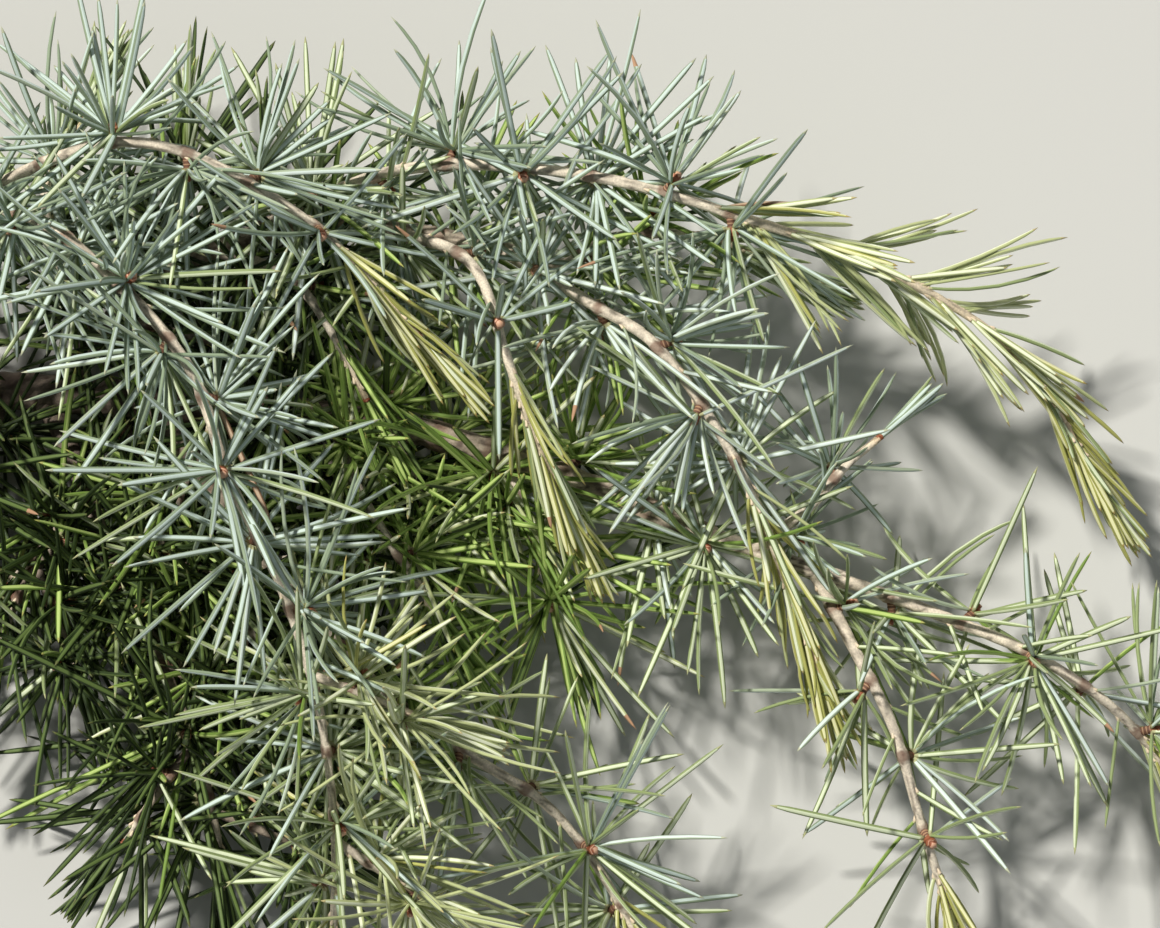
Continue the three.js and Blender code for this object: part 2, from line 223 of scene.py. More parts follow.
twigs = {
    "crest_twig": {
        "on": "crest_bough", "at": 1, "lengths": 2, "turn": 40, "young": 31, "tint": "glaucous",
        "through": [[8, 152, 58], [24, 156.5, 64], [40, 153.5, 67], [64, 139.5, 66], [84, 118, 57]],
    },
    "long_twig": {
        "on": "upper_bough", "at": 0.46, "lengths": 3, "turn": 200, "young": 108, "tint": "glaucous",
        "through": [[80, 151.5, 52], [115, 150.5, 58], [148, 142, 57], [178, 131, 50], [204, 115, 38],
                    [221, 90, 27]],
    },
    "drooping_twig": {
        "on": "upper_bough", "at": 0.7, "lengths": 1, "turn": 80, "young": 38, "tint": "glaucous",
        "through": [[94, 133, 54], [101.5, 114, 58], [107, 98, 54], [113.5, 83, 47]],
    },
    "centre_twig": {
        "on": "upper_bough", "at": 0.93, "lengths": 2, "turn": 0, "young": 44, "tint": "silver",
        "through": [[118, 125, 51], [131, 116.5, 56], [147.5, 92.5, 53], [157, 70, 46], [164, 50, 40]],
    },
    "upper_tip": {
        "on": "upper_bough", "at": 1, "lengths": 1, "turn": 120, "young": 24, "tint": "greyGreen",
        "through": [[122, 138, 44], [140, 138.5, 43], [156, 132, 38]],
    },
    "leading_twig": {
        "on": "main_stem", "at": 1, "lengths": 2, "turn": 105, "young": 34, "tint": "greyGreen",
        "through": [[188, 62.5, 38], [208, 54, 39], [226, 41.5, 33], [239, 25, 25], [244, 12, 21]],
    },
    "fork_twig": {
        "on": "main_stem", "at": 0.965, "lengths": 2, "turn": 300, "young": 30, "tint": "greyGreen",
        "through": [[171, 56, 41], [179, 40, 41], [185, 20, 36], [191, 2, 29], [195, -13, 24]],
    },
    "weeping_twig": {
        "on": "crest_bough", "at": 0.86, "lengths": 4, "turn": 265, "young": 24, "tint": "glaucous",
        "outerTint": "greyGreen",
        "through": [[6, 142, 61], [24, 129.5, 73], [40, 111, 80], [47.5, 90, 82], [56, 72.5, 79],
                    [63.5, 50, 73], [67, 26, 63], [67, 4, 52], [65, -14, 42]],
    },
    "lower_twig": {
        "on": "lower_bough", "at": 1, "lengths": 2, "turn": 150, "young": 22, "tint": "greyGreen",
        "through": [[76, 47.5, 40], [92, 35.5, 44], [110, 23.5, 42], [121, 9, 37], [132, -12, 29]],
    },
    "shade_twig": {
        "on": "shade_bough", "at": 1, "lengths": 1, "turn": 230, "young": 22, "tint": "shadeGreen",
        "through": [[32, 49, 24], [38, 34, 26], [42, 16, 24], [44, -2, 20]],
    },
    "left_twig": {
        "on": "shade_bough", "at": 0.5, "lengths": 1, "turn": 340, "young": 10, "tint": "shadeGreen",
        "through": [[8, 76, 20], [0, 63, 22], [-4, 48, 20]],
    },
    "corner_twig": {
        "on": "upper_bough", "at": 0.12, "lengths": 1, "turn": 10, "young": 12, "tint": "greyGreen",
        "through": [[9, 135, 22], [7, 149, 24], [14, 163, 23]],
    },
    "inner_left_twig": {
        "on": "main_stem", "at": 0.1, "lengths": 1, "turn": 260, "young": 12, "tint": "shadeGreen",
        "through": [[-7, 98, 13], [-12, 86, 17], [-14, 72, 18]],
    },
    "inner_twig": {
        "on": "upper_bough", "at": 0.42, "lengths": 1, "turn": 90, "young": 14, "tint": "leafGreen",
        "through": [[58, 130, 44], [67, 118, 47], [73, 106, 45]],
    },
    "middle_twig": {
        "on": "main_stem", "at": 0.46, "lengths": 1, "turn": 330, "young": 16, "tint": "leafGreen",
        "through": [[70, 90, 35], [77, 78, 38], [85, 66, 37], [90, 57, 34]],
    },
    "under_twig": {
        "on": "lower_bough", "at": 0.62, "lengths": 1, "turn": 30, "young": 16, "tint": "leafGreen",
        "through": [[49, 62, 24], [54, 46, 23], [58, 29, 21], [59, 14, 18]],
    },
    "side_twig": {
        "on": "main_stem", "at": 0.9, "lengths": 1, "turn": 100, "young": 7, "tint": "glaucous",
        "through": [[162, 84, 44], [169, 92, 46], [176, 98, 45]],
    },
}

# Finer shoots that fill out the inside: how far along their limb, degrees round from the top, length and
# the colour of their needles.
# The "shadeGreen" needles here are painted shade for the inside of the branch.
sideShoots = {
    "main_stem": [[0.09, 110, 24, "shadeGreen"], [0.22, 100, 26, "shadeGreen"],
                  [0.33, -100, 26, "shadeGreen"], [0.42, 110, 24, "leafGreen"],
                  [0.52, 95, 30, "leafGreen"], [0.64, 96, 34, "leafGreen"]],
    "crest_bough": [[0.4, 300, 22, "shadeGreen"]],
    "upper_bough": [[0.2, 90, 24, "shadeGreen"], [0.35, 270, 24, "greyGreen"]],
    "lower_bough": [[0.3, 90, 24, "leafGreen"], [0.75, 270, 22, "leafGreen"]],
    "shade_bough": [[0.45, 70, 28, "shadeGreen"], [0.7, 290, 30, "shadeGreen"]],
    "weeping_twig": [[0.66, 280, 24, "paleYoung"], [0.83, 280, 22, "paleYoung"]],
    "shade_twig": [[0.15, 270, 28, "shadeGreen"], [0.4, 80, 26, "shadeGreen"],
                   [0.62, 260, 26, "shadeGreen"]],
    "left_twig": [[0.4, 280, 26, "shadeGreen"]],
    "inner_left_twig": [[0.5, 90, 22, "shadeGreen"]],
    "under_twig": [[0.3, 90, 22, "leafGreen"], [0.55, 270, 22, "greyGreen"]],
}
sideSize = {"lean": 55, "droop": 0.16, "bends": (0.45, 0.95), "root": 1.0, "tip": 0.7, "first": 8,
            "spacing": 11, "young": 6, "full": 0.85, "lowestWood": 2.5, "lowestWhorl": 4}

# How full each whorl is, from a twig's root to its tip, where it isn't whole.
fullness = {
    "leading_twig": [0.5, 0.35, 1, 0.4, 1], "fork_twig": [0.9, 0.4, 0.7, 0.5],
    "lower_twig": [0.7, 0.6, 1, 0.7, 0.8, 1], "drooping_twig": [1, 0.7, 0.6], "side_twig": [0.8, 0.7],
}

# Where a stem stays in sight: from and to along it, and the share of the needles over it that stop
# short of it, or are left out where they would get too short.
clearLanes = {
    "main_stem": (0.5, 0.97, 0.25), "crest_twig": (0.35, 1, 0.7), "long_twig": (0.3, 1, 0.6),
    "drooping_twig": (0.2, 1, 0.75), "centre_twig": (0.15, 1, 0.8), "leading_twig": (0, 0.95, 0.65),
    "fork_twig": (0.15, 1, 0.75), "weeping_twig": (0.3, 1, 0.5), "lower_twig": (0.4, 0.95, 0.75),
}
laneWidth = {"stem": 1.7, "young": 4.5}  # mm to each side
laneGap = 0.08  # a needle ends this share of its length before the lane
shortestShare = 0.62


# Paths

pathSteps = 200


def unit(vectors):
    return vectors / np.maximum(np.linalg.norm(vectors, axis=-1, keepdims=True), 1e-12)


def splinePoints(points, t):
    # A centripetal Catmull-Rom run through the points.
    place = (len(points) - 1) * np.clip(t, 0, 1)
    first = np.minimum(place.astype(int), len(points) - 2)
    w = (place - first)[:, None]
    ends = np.vstack([2 * points[0] - points[1], points, 2 * points[-1] - points[-2]])
    a, b, c, d = (ends[first + k] for k in range(4))
    step = [np.sqrt(np.linalg.norm(q - p, axis=1, keepdims=True)) for p, q in ((a, b), (b, c), (c, d))]
    near, mid, far = (np.maximum(s, 1e-4) for s in step)
    start = ((b - a) / near - (c - a) / (near + mid) + (c - b) / mid) * mid
    end = ((c - b) / mid - (d - b) / (mid + far) + (d - c) / far) * mid
    bend = -3 * b + 3 * c - 2 * start - end
    return b + start * w + bend * w ** 2 + (2 * b - 2 * c + start + end) * w ** 3


def makePath(points):
    points = np.array(points, float)
    run = splinePoints(points, np.linspace(0, 1, pathSteps + 1))
    lengths = np.concatenate([[0], np.cumsum(np.linalg.norm(np.diff(run, axis=0), axis=1))])
    return {"points": points, "lengths": lengths, "total": lengths[-1]}


def seatsOn(path, along):
    # Points of a path with their direction, a level side to the right and the upper side.
    t = np.interp(np.atleast_1d(along) * path["total"], path["lengths"], np.linspace(0, 1, pathSteps + 1))
    point = splinePoints(path["points"], t)
    ahead = splinePoints(path["points"], t + 1e-4) - splinePoints(path["points"], t - 1e-4)
    tangent = unit(ahead)
    side = unit(np.cross(tangent, [0, 0, 1]))
    return {"point": point, "tangent": tangent, "side": side, "up": np.cross(side, tangent)}


def leaning(seat, turn, angle):
    turn = np.radians(np.atleast_1d(turn))[:, None]
    angle = np.radians(np.atleast_1d(angle))[:, None]
    outward = seat["up"] * np.cos(turn) + seat["side"] * np.sin(turn)
    return outward * np.sin(angle) + seat["tangent"] * np.cos(angle)


def taper(root, tip, power=1.0):
    return lambda along: root + (tip - root) * np.clip(along, 0, 1) ** power


def seededDraws(seed):
    state = seed

    def draw():
        nonlocal state
        state = (state * 1664525 + 1013904223) % 4294967296
        return state / 4294967296

    return draw


def limbPath(entry, grown):
    points = [list(p) for p in entry["through"]]
    parent = grown.get(entry.get("on"))
    if parent and entry["at"] < 1:
        points.insert(0, seatsOn(parent["path"], entry["at"])["point"][0])
    if parent and entry["at"] == 1:
        tip = seatsOn(parent["path"], 1)
        ahead = (wood["seat"], wood["straight"])
        points[:0] = [tip["point"][0] + tip["tangent"][0] * reach for reach in ahead]
    return makePath(points)


def shootOn(owner, path, along, turn, woodRadius, tint):
    seat = seatsOn(path, along)
    axis = leaning(seat, turn, shootSize["lean"])[0]
    rise = woodRadius / math.sin(math.radians(shootSize["lean"])) + shootSize["rise"]
    return {"owner": owner, "middle": seat["point"][0] + axis * rise, "axis": axis, "tint": tint,
            "limb": None, "full": 1, "foot": seat["point"][0]}


def tintAt(entry, along):
    isOuter = along > wood["outerFrom"]
    return entry.get("outerTint", entry["tint"]) if isOuter else entry["tint"]


def growWood():
    grown = {}
    shoots = []
    for name, entry in boughs.items():
        path = limbPath(entry, grown)
        kind = "bough" if "on" in entry else "stem"
        radiusAt = taper(wood[kind + "Root"], wood[kind + "Tip"], wood["taper"])
        grown[name] = {"path": path, "radiusAt": radiusAt, "tint": entry["tint"]}
        for number, (along, turn) in enumerate(entry["shoots"]):
            owner = "%s_spur_%d" % (name, number + 1)
            shoots.append(shootOn(owner, path, along, turn, radiusAt(along), tintAt(entry, along)))
    for number, (name, entry) in enumerate(twigs.items()):
        path = limbPath(entry, grown)
        root = min(wood["twigRoot"], grown[entry["on"]]["radiusAt"](entry["at"]) * wood["slimmer"])
        radiusAt = taper(root, wood["twigTip"])
        youngFrom = 1 - entry["young"] / path["total"]
        grown[name] = {"path": path, "radiusAt": radiusAt, "tint": entry["tint"], "youngFrom": youngFrom}
        draw = seededDraws(seeds["twigs"] * (number + 1))
        nearest, spread = shootSize["spread"]
        s, turn, place = shootSize["first"], entry["turn"], 0
        while s < path["total"] * (youngFrom + shootSize["pastYoung"]):
            along = s / path["total"]
            owner = stretchOf(name, along)
            shoot = shootOn(owner, path, along, turn, radiusAt(along), tintAt(entry, along))
            full = fullness.get(name, [])
            shoot.update(limb=name, full=full[place] if place < len(full) else 1)
            shoots.append(shoot)
            place += 1
            turn += goldenAngle
            s += shootSize["spacing"] * (nearest + spread * draw())
    return grown, shoots


def growSideShoots():
    # Short leafy shoots that leave a limb at an angle and sink a little, with up to three whorls each.
    for parentName, places in sideShoots.items():
        parent = grown[parentName]
        for number, (along, turn, length, tint) in enumerate(places):
            seat = seatsOn(parent["path"], along)
            direction = leaning(seat, turn, sideSize["lean"])[0]
            root = seat["point"][0]
            fall = np.array([0, 0, -sideSize["droop"] * length])
            bend, end = sideSize["bends"]
            points = [root, root + direction * length * bend, root + direction * length * end + fall]
            low = sideSize["lowestWood"] - planToFrame[2]
            points = [[p[0], p[1], max(p[2], low)] for p in points]
            path = makePath(points)
            name = "%s_side_%d" % (parentName, number + 1)
            radiusAt = taper(sideSize["root"], sideSize["tip"])
            grown[name] = {"path": path, "radiusAt": radiusAt, "tint": tint,
                           "youngFrom": 1 - sideSize["young"] / path["total"]}
            s, shootTurn = sideSize["first"], turn
            while s < path["total"]:
                shoot = shootOn(None, path, s / path["total"], shootTurn, radiusAt(s / path["total"]), tint)
                shoot.update(limb=name, full=sideSize["full"])
                if shoot["middle"][2] + planToFrame[2] > sideSize["lowestWhorl"]:
                    shoots.append(shoot)
                shootTurn += goldenAngle
                s += sideSize["spacing"]


def stretchOf(name, along):
    if name not in twigs:
        return None
    lengths = twigs[name]["lengths"]
    return "%s_%d" % (name, min(int(along * lengths), lengths - 1) + 1)


grown, shoots = growWood()
growSideShoots()
print("wood planned:", len(grown), "limbs,", len(shoots), "short shoots")


# Small shapes, each modelled once: a needle, a bud, a short shoot's peg and a leaf cushion. They stand
# on +Z. A needle is 1 long, and is stretched when it is dealt out.

needleShape = {
    "sides": 6, "width": 1.0, "thickness": 0.66, "rootShare": 0.6, "footTo": 0.03, "bandHalf": 0.05,
    "stations": ((0.03, 0.8), (0.14, 0.93), (0.3, 1.0), (0.52, 1.0), (0.74, 0.97), (0.88, 0.84),
                 (0.955, 0.54), (1.0, 0.05)),
}
budShape = {"sides": 8, "foot": -0.3, "tiers": ((0.0, 0.9), (0.42, 0.96), (0.86, 0.66)), "rise": 0.5,
            "flare": 1.1, "closing": 0.86, "point": 0.3, "rimFrom": 0.75}
pegShape = {"sides": 9, "radius": 0.8, "scales": 3, "flare": 1.13, "wider": 0.7, "narrower": 0.3,
            "back": 0.97, "rim": 0.25, "dome": 0.12, "rimFrom": 0.3}
cushionShape = {"edge": 0.22, "foot": 0.25}


def modelNeedle(name, tipFrom):
    # The faces are kept in four kinds: green edges, pale band, foot and tip.
    deselectAll()
    shape = needleShape
    half = math.pi / shape["sides"]
    bpy.ops.mesh.primitive_circle_add(vertices=shape["sides"], radius=shape["width"] / 2,
                                      fill_type="NGON", rotation=(0, 0, half))
    needle = bpy.context.object
    needle.name = name
    bpy.ops.object.transform_apply(rotation=True)
    bpy.ops.object.mode_set(mode="EDIT")
    bpy.ops.mesh.select_all(action="SELECT")
    narrow = shape["rootShare"]
    bpy.ops.transform.resize(value=(narrow, narrow * shape["thickness"], 1))
    height, share = 0.0, narrow
    for station, width in shape["stations"]:
        bpy.ops.mesh.extrude_region_move(TRANSFORM_OT_translate={"value": (0, 0, station - height)})
        bpy.ops.transform.resize(value=(width / share, width / share, 1))
        height, share = station, width
    bpy.ops.mesh.select_all(action="SELECT")
    bpy.ops.mesh.normals_make_consistent(inside=False)
    bpy.ops.object.mode_set(mode="OBJECT")
    for face in needle.data.polygons:
        middle = face.center
        if middle.z > tipFrom:
            face.material_index = 3
        elif middle.z < shape["footTo"]:
            face.material_index = 2
        elif abs(middle.x) < shape["bandHalf"]:
            face.material_index = 1
    return shapeArrays(needle)


def modelBud():
    # A plump resting bud: tiers of scales that close over each other, each tier with a paler rim.
    deselectAll()
    sides = budShape["sides"]
    bpy.ops.mesh.primitive_circle_add(vertices=sides, radius=budShape["tiers"][0][1], fill_type="NGON",
                                      location=(0, 0, budShape["foot"]))
    bud = bpy.context.object
    bpy.ops.object.transform_apply(location=True)
    bpy.ops.object.mode_set(mode="EDIT")
    bpy.ops.mesh.select_all(action="SELECT")
    height, radius = budShape["foot"], budShape["tiers"][0][1]
    for base, wide in budShape["tiers"]:
        closed = wide * budShape["flare"] * budShape["closing"]
        for level, reach in ((base, wide), (base + budShape["rise"], closed)):
            bpy.ops.mesh.extrude_region_move(TRANSFORM_OT_translate={"value": (0, 0, level - height)})
            bpy.ops.transform.resize(value=(reach / radius, reach / radius, 1))
            height, radius = level, reach
        bpy.ops.transform.rotate(value=math.pi / sides, orient_axis="Z", center_override=(0, 0, height))
    bpy.ops.mesh.select_all(action="SELECT")
    bpy.ops.mesh.normals_make_consistent(inside=False)
    bpy.ops.object.mode_set(mode="OBJECT")
    for face in bud.data.polygons:
        face.material_index = 1 if face.normal.z > budShape["rimFrom"] else 0
    for number, vertex in enumerate(bud.data.vertices):
        if number % 2:
            vertex.co.z += budShape["point"]
    return shapeArrays(bud)


def modelPeg():
    # The woody peg of a short shoot, built up of rings of old bud scales.
    deselectAll()
    bpy.ops.mesh.primitive_circle_add(vertices=pegShape["sides"], radius=pegShape["radius"],
                                      fill_type="NGON")
    peg = bpy.context.object
    bpy.ops.object.mode_set(mode="EDIT")
    bpy.ops.mesh.select_all(action="SELECT")
    rise = 1 / pegShape["scales"]
    flare = pegShape["flare"]
    for _ in range(pegShape["scales"]):
        for share, wide in ((pegShape["wider"], flare), (pegShape["narrower"], pegShape["back"] / flare)):
            bpy.ops.mesh.extrude_region_move(TRANSFORM_OT_translate={"value": (0, 0, rise * share)})
            bpy.ops.transform.resize(value=(wide, wide, 1))
    bpy.ops.mesh.inset(thickness=pegShape["rim"])
    bpy.ops.transform.translate(value=(0, 0, pegShape["dome"]))
    bpy.ops.mesh.select_all(action="SELECT")
    bpy.ops.mesh.normals_make_consistent(inside=False)
    bpy.ops.object.mode_set(mode="OBJECT")
    for face in peg.data.polygons:
        face.material_index = 1 if face.normal.z > pegShape["rimFrom"] else 0
    return shapeArrays(peg)


def modelCushion():
    # The small wedge that a single needle stands on, running down into the bark.
    deselectAll()
    bpy.ops.mesh.primitive_cube_add(size=1, location=(0, 0, 0.5))
    cushion = bpy.context.object
    bpy.ops.object.transform_apply(location=True)
    bpy.ops.object.mode_set(mode="EDIT")
    bpy.ops.mesh.select_all(action="SELECT")
    bpy.ops.mesh.bevel(offset=cushionShape["edge"], segments=1, affect="EDGES")
    bpy.ops.object.mode_set(mode="OBJECT")
    for vertex in cushion.data.vertices:
        share = cushionShape["foot"] + (1 - cushionShape["foot"]) * vertex.co.z
        vertex.co.x *= share
        vertex.co.y *= share
    return shapeArrays(cushion)


def shapeArrays(thing):
    mesh = thing.data
    points = np.empty(len(mesh.vertices) * 3)
    corners = np.empty(len(mesh.loops), int)
    sizes = np.empty(len(mesh.polygons), int)
    kinds = np.empty(len(mesh.polygons), int)
    mesh.vertices.foreach_get("co", points)
    mesh.loops.foreach_get("vertex_index", corners)
    mesh.polygons.foreach_get("loop_total", sizes)
    mesh.polygons.foreach_get("material_index", kinds)
    bpy.data.objects.remove(thing)
    return {"points": points.reshape(-1, 3), "corners": corners, "sizes": sizes, "kinds": kinds}


shapes = {
    "needle": modelNeedle("needle", 0.955),
    "rustTipped": modelNeedle("rust_tipped_needle", 0.88),
    "bud": modelBud(),
    "peg": modelPeg(),
    "cushion": modelCushion(),
}
print("small shapes modelled:", {name: len(shape["sizes"]) for name, shape in shapes.items()})


# Where everything small goes. "rows" holds a dictionary for each needle, and each list of "bits" holds
# root, direction, facing, length and width.

needleRule = {
    "neighbourShare": 0.26, "rustShare": 0.014, "dryShare": 0.0016, "dryLength": 0.75, "bow": (0.008, 0.035),
    "startsOut": 1,  # mm that a needle is shorter, as it starts that far out
    "boxMargin": 0.6, "groundMargin": 0.7, "straightBelow": 6, "woodMargin": 0.25,
    "shorterBy": 0.08,  # share of its length that a needle ends before wood in its way
    "shortest": 13, "leastFree": 0.5,  # shorter ones are left out
}
whorls = {  # the needles of a short shoot
    "needles": (29, 39), "length": 32, "spread": (0.72, 1.14), "openAngle": 112, "sway": 0.21,
    "bunching": 0.6, "bunches": 3, "topFrom": 0.75, "topLength": (0.7, 0.95), "rise": 0.5, "out": 0.9,
    "facingSway": 0.35, "width": 1.3, "widthSpread": (0.88, 1.1),
}
singles = {  # what the loose and the soft needles share
    "start": 4.0, "end": 1, "turnSway": 35, "out": 0.85, "facingSway": 0.3, "widthSpread": (0.85, 1.1),
    "stepSpread": (0.75, 1.25),
}
loose = {  # single needles between the short shoots
    "spacing": 6.5, "length": 24, "lengthSpread": (0.85, 1.15), "angle": 55, "angleSpread": (0.75, 1.25),
    "width": 1.22,
}
soft = {  # single needles of a twig's soft tip, closer to it from root to tip
    "spacing": 0.84, "length": 23, "lengthSpread": (0.72, 1.15), "angle": (29, 11), "angleTo": 0.5,
    "angleSpread": (0.55, 1.4), "width": 1.26,
}
brush = {"needles": 12, "angle": (2, 10), "lengthSpread": (0.78, 1), "at": 0.995}  # round the end bud
pegPlace = {"below": 0.4, "length": 2.3, "width": (0.98, 1.2)}
budPlace = {"above": 0.7, "sway": 0.12, "length": (1.2, 1.5), "width": (1.05, 1.3), "tipLength": 0.9,
            "tipWidth": 0.8}
cushionPlace = {"out": 0.8, "back": 1.1, "lean": 0.28, "length": 1.5, "width": 0.75}
longerNeedles = {"shade_twig": 1.35, "left_twig": 1.15, "main_stem_spur_4": 1.3, "main_stem_spur_5": 1.3,
                 "main_stem_side_6": 1.15, "side_twig": 0.75}
openYoung = {"long_twig"}  # a long soft shoot, with its needles in open fans on its first part
fans = {"needles": 7, "until": 0.6, "firstAngle": 40.0, "angle": (22, 52), "angleSpread": (0.8, 1.2),
        "sway": (-16, 16), "spacing": 0.75, "longer": 1.22}
softTips = {"crest_twig", "long_twig", "drooping_twig", "centre_twig", "fork_twig", "leading_twig",
            "weeping_twig", "lower_twig"}  # the twigs that end in this year's yellow-green needles
neighbourTints = {
    "silver": ("glaucous", "silver", "greyGreen"), "glaucous": ("silver", "greyGreen", "glaucous"),
    "greyGreen": ("glaucous", "silver", "leafGreen"), "leafGreen": ("greyGreen", "shadeGreen", "paleYoung"),
    "shadeGreen": ("greyGreen", "leafGreen", "shadeGreen"), "young": ("paleYoung", "greyGreen", "paleYoung"),
    "paleYoung": ("young", "greyGreen", "paleYoung"),
}
# Painted shade: a whorl gets darker needles where "least" balls of the wood lie within "reach" of it and
# "above" it, in mm. The low ones, "deepBelow", are darker, and at the left the darkest of all.
cover = {"reach": 18, "above": 14, "least": 14, "deepBelow": 46, "leftOf": 70}
needlesAtOnce = 500  # so that the distances to all the wood fit in memory
verticesAtOnce = 4000
rows = []
bits = {"bud": [], "peg": [], "cushion": []}


def squareTo(direction, wanted):
    return unit(wanted - direction * np.sum(wanted * direction, axis=-1, keepdims=True))


def addNeedle(draws, place, tint, root, direction, length, width, facing):
    # "place" says which limb and which node of the frame the needle belongs to, and if it is in a whorl.
    if draws.random() < needleRule["neighbourShare"]:
        tint = neighbourTints[tint][draws.integers(3)]
    if draws.random() < needleRule["dryShare"]:
        tint = "dry"
        length *= needleRule["dryLength"]
    rows.append({**place, "tint": tint, "isRust": draws.random() < needleRule["rustShare"], "root": root,
                 "direction": direction, "length": length, "width": width, "facing": facing,
                 "bow": draws.normal(*needleRule["bow"])})


def growWhorl(draws, shoot):
    axis, middle = shoot["axis"], shoot["middle"]
    across = unit(np.cross(axis, [0.3, 0.2, 1]))
    other = np.cross(axis, across)
    count = int(draws.integers(*whorls["needles"]) * shoot["full"])
    place = {"owner": shoot["owner"], "limb": shoot["limb"], "isWhorl": True}
    lowest = math.cos(math.radians(whorls["openAngle"]))
    start = draws.random() * 6.28
    bunches = whorls["bunches"] + count % 3
    for k in range(count):
        level = 1 - (k + 0.5) / count * (1 - lowest)
        spin = start + k * math.radians(goldenAngle)
        spin += whorls["bunching"] / bunches * math.sin(bunches * spin + start)
        out = across * math.cos(spin) + other * math.sin(spin)
        direction = axis * level + out * math.sqrt(1 - level ** 2)
        direction = unit(direction + draws.normal(0, whorls["sway"], 3))
        length = whorls["length"] * draws.uniform(*whorls["spread"])
        length *= longerNeedles.get(shoot["limb"] or shoot["owner"], 1)
        if level > whorls["topFrom"]:
            length *= draws.uniform(*whorls["topLength"])
        root = middle + axis * whorls["rise"] + out * whorls["out"]
        direction = unit(middle + direction * length - root)
        facing = axis + draws.normal(0, whorls["facingSway"], 3)
        width = whorls["width"] * draws.uniform(*whorls["widthSpread"])
        addNeedle(draws, place, shoot["tint"], root, direction, length - needleRule["startsOut"], width,
                  facing)
    foot = middle - axis * (shootSize["rise"] + pegPlace["below"])
    bits["peg"].append((foot, axis, across, pegPlace["length"], draws.uniform(*pegPlace["width"])))
    bits["bud"].append((middle + axis * budPlace["above"],
                        unit(axis + draws.normal(0, budPlace["sway"], 3)), across,
                        draws.uniform(*budPlace["length"]), draws.uniform(*budPlace["width"])))


def growSingles(draws, name):
    limb = grown[name]
    path, youngFrom = limb["path"], limb["youngFrom"]
    longer = longerNeedles.get(name, 1)
    softTint = "young" if name in softTips else limb["tint"]
    s, turn, number, fanAngle = singles["start"], draws.random() * 360, 0, fans["firstAngle"]
    while s < path["total"] - singles["end"]:
        along = s / path["total"]
        seat = seatsOn(path, along)
        point, tangent = seat["point"][0], seat["tangent"][0]
        isYoung = along > youngFrom
        radius = limb["radiusAt"](along)
        share = (along - youngFrom) / (1 - youngFrom)
        isFan = isYoung and name in openYoung and share < fans["until"]
        number += 1
        if not isFan or number % fans["needles"] == 0:
            turn += goldenAngle + draws.uniform(-singles["turnSway"], singles["turnSway"])
            fanAngle = draws.uniform(*fans["angle"])
        out = leaning(seat, turn + (draws.uniform(*fans["sway"]) if isFan else 0), 90)[0]
        kind = soft if isYoung else loose
        angle = np.interp(share, [0, soft["angleTo"]], soft["angle"]) if isYoung else loose["angle"]
        angle *= draws.uniform(*kind["angleSpread"])
        length = kind["length"] * draws.uniform(*kind["lengthSpread"])
        step = kind["spacing"]
        tint = softTint if isYoung else limb["tint"]
        if isFan:
            angle = fanAngle * draws.uniform(*fans["angleSpread"])
            length *= fans["longer"]
            step = fans["spacing"]
            tint = "paleYoung"
        slope = math.radians(angle)
        direction = unit(out * math.sin(slope) + tangent * math.cos(slope))
        root = point + out * radius * singles["out"]
        width = kind["width"] * draws.uniform(*singles["widthSpread"])
        place = {"owner": stretchOf(name, along), "limb": name, "isWhorl": False}
        addNeedle(draws, place, tint, root, direction, length * longer - needleRule["startsOut"], width,
                  out + draws.normal(0, singles["facingSway"], 3))
        bits["cushion"].append((point + out * radius * cushionPlace["out"] - tangent * cushionPlace["back"],
                                unit(tangent + out * cushionPlace["lean"]), out,
                                cushionPlace["length"], cushionPlace["width"]))
        s += step * draws.uniform(*singles["stepSpread"])
    tip = seatsOn(path, brush["at"])
    place = {"owner": stretchOf(name, 1), "limb": name, "isWhorl": False}
    for k in range(brush["needles"]):
        direction = leaning(tip, goldenAngle * k, draws.uniform(*brush["angle"]))[0]
        length = soft["length"] * draws.uniform(*brush["lengthSpread"]) * longer
        addNeedle(draws, place, softTint, tip["point"][0], direction, length, soft["width"],
                  leaning(tip, goldenAngle * k, 90)[0])
    bits["bud"].append((tip["point"][0], tip["tangent"][0], tip["side"][0], budPlace["tipLength"],
                        budPlace["tipWidth"]))


def paintShadeInside():
    # Whorls that twigs lie over are given darker green needles with hardly any bloom: partly the real deeper
    # green of needles grown in shade, partly painted shade for the shadow of the twigs above.
    tops, _ = woodSpheres()
    for shoot in shoots:
        level = np.hypot(*(tops[:, :2] - shoot["middle"][:2]).T)
        isOver = (level < cover["reach"]) & (tops[:, 2] > shoot["middle"][2] + cover["above"])
        if isOver.mean() * len(tops) < cover["least"] or shoot["tint"] == "shadeGreen":
            continue
        isDeep = shoot["middle"][2] + planToFrame[2] < cover["deepBelow"]
        isLeft = shoot["middle"][0] < cover["leftOf"]
        if isDeep:
            shoot["tint"] = "shadeGreen" if isLeft else "leafGreen"
        else:
            shoot["tint"] = "greyGreen"


def growFoliage():
    paintShadeInside()
    for number, shoot in enumerate(shoots):
        growWhorl(np.random.default_rng(seeds["whorls"] + number), shoot)
    leafy = [name for name in grown if "youngFrom" in grown[name]]
    for number, name in enumerate(leafy):
        growSingles(np.random.default_rng(seeds["singles"] + number), name)


def woodSpheres():
    # The wood as close rows of balls, which needles are kept out of.
    centres, radii = [], []
    for limb in grown.values():
        along = np.linspace(0, 1, max(3, int(limb["path"]["total"] / 1.2)))
        centres.append(seatsOn(limb["path"], along)["point"])
        radii.append(limb["radiusAt"](along) * np.ones(len(along)))
    return np.vstack(centres), np.concatenate(radii)


